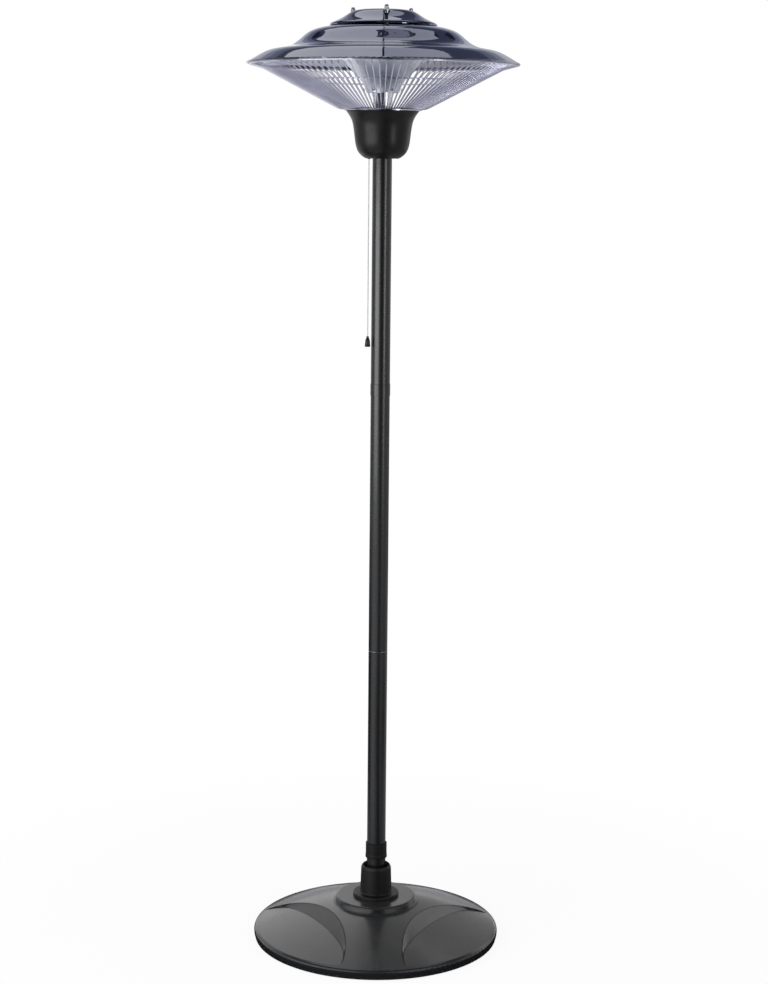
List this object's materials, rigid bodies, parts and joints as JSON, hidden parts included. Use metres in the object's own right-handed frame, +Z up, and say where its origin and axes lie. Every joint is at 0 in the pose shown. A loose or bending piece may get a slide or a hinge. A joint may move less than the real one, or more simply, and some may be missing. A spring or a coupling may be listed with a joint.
{
  "type": "infrared patio heater tower",
  "caption": "Free-standing patio heater: round weighted base, slim pole in sections, and a lamp head with wire cage, reflector and wide stepped round shade, with a pull cord switch.",
  "frame": {"origin": "centre of the base on the floor", "axes": "+Z up along the pole, -Y front, +X to the right seen from the front"},
  "size_m": [0.594, 0.594, 2.1],
  "materials": {
    "base_paint": "glossy dark grey powder coat",
    "pole_paint": "satin dark grey paint",
    "collar_paint": "satin black paint",
    "zinc_steel": "zinc plated",
    "ballast_iron": "rough cast",
    "foot_rubber": "matt",
    "black_plastic": "matt black moulded",
    "bowl_plastic": "matt black moulded",
    "switch_plastic": "moulded",
    "brass_metal": "turned",
    "polished_aluminium": "polished",
    "chrome_tube": "mirror",
    "cage_chrome": "bright",
    "dark_chrome": "dark mirror plating",
    "cord_fabric": "braided grey",
    "ceramic_white": "unglazed",
    "quartz_glass": "clear",
    "tungsten": "wound wire"
  },
  "bodies": {
    "stand": {"acorn_nuts": "cage_chrome", "base_cover": "base_paint", "base_plate": "zinc_steel", "base_screws": "zinc_steel", "base_weight": "ballast_iron", "bowl": "bowl_plastic", "bowl_clamp": "zinc_steel", "bowl_top_plate": "polished_aluminium", "cable_gland": "black_plastic", "cage_bottom_ring": "cage_chrome", "cage_clips": "cage_chrome", "cage_mid_ring": "cage_chrome", "cage_outer_ring": "cage_chrome", "cage_wires": "cage_chrome", "cap_spacers": "zinc_steel", "cap_studs": "zinc_steel", "cap_washers": "cage_chrome", "centre_funnel": "polished_aluminium", "cord_eyelet": "black_plastic", "foot_bolts": "zinc_steel", "foot_cup": "black_plastic", "foot_nuts": "zinc_steel", "foot_stub": "pole_paint", "funnel_screws": "cage_chrome", "hub_plate": "zinc_steel", "hub_stand": "zinc_steel", "lamp_brackets": "zinc_steel", "lamp_end_caps": "ceramic_white", "lamp_filaments": "tungsten", "lamp_holders": "ceramic_white", "lamp_tubes": "quartz_glass", "locking_collar": "collar_paint", "lower_joint_spigot": "zinc_steel", "lower_tube": "pole_paint", "middle_tube": "pole_paint", "pillar": "chrome_tube", "pillar_leads": "cord_fabric", "plate_screws": "zinc_steel", "pole_screws": "zinc_steel", "reflector_dish": "polished_aluminium", "reflector_spacers": "zinc_steel", "rubber_feet": "foot_rubber", "shade_shell": "dark_chrome", "switch_case": "switch_plastic", "switch_lever_pin": "zinc_steel", "switch_spring": "zinc_steel", "terminal_block": "ceramic_white", "thermal_cutout": "switch_plastic", "tilt_case": "switch_plastic", "tilt_pin": "zinc_steel", "top_cap": "dark_chrome", "upper_joint_sleeve": "collar_paint", "upper_joint_spigot": "zinc_steel", "upper_tube": "pole_paint"},
    "pull": {"cord_hook": "zinc_steel", "pull_cord": "cord_fabric", "pull_knob": "black_plastic"},
    "lever": {"switch_lever": "switch_plastic"},
    "pendulum": {"tilt_pendulum": "brass_metal"}
  },
  "joints": [
    {"name": "pull_cord_slide", "type": "slide", "parent": "stand", "child": "pull", "axis": [0, 0, -1], "range_m": [0, 0.008], "stiffness_N_per_m": 400, "springref_m": -0.004},
    {"name": "switch_lever_hinge", "type": "hinge", "parent": "stand", "child": "lever", "pos_m": [-0.029, 0.004, 1.822], "axis": [1, 0, 0], "range_deg": [0, 30]},
    {"name": "tilt_pendulum_hinge", "type": "hinge", "parent": "stand", "child": "pendulum", "pos_m": [0, 0, 0.04502], "axis": [0, 1, 0], "range_deg": [-20, 20]}
  ],
  "couplings": [
    {"joint": "switch_lever_hinge", "follows": "pull_cord_slide", "rad_per_m": 62.5}
  ]
}
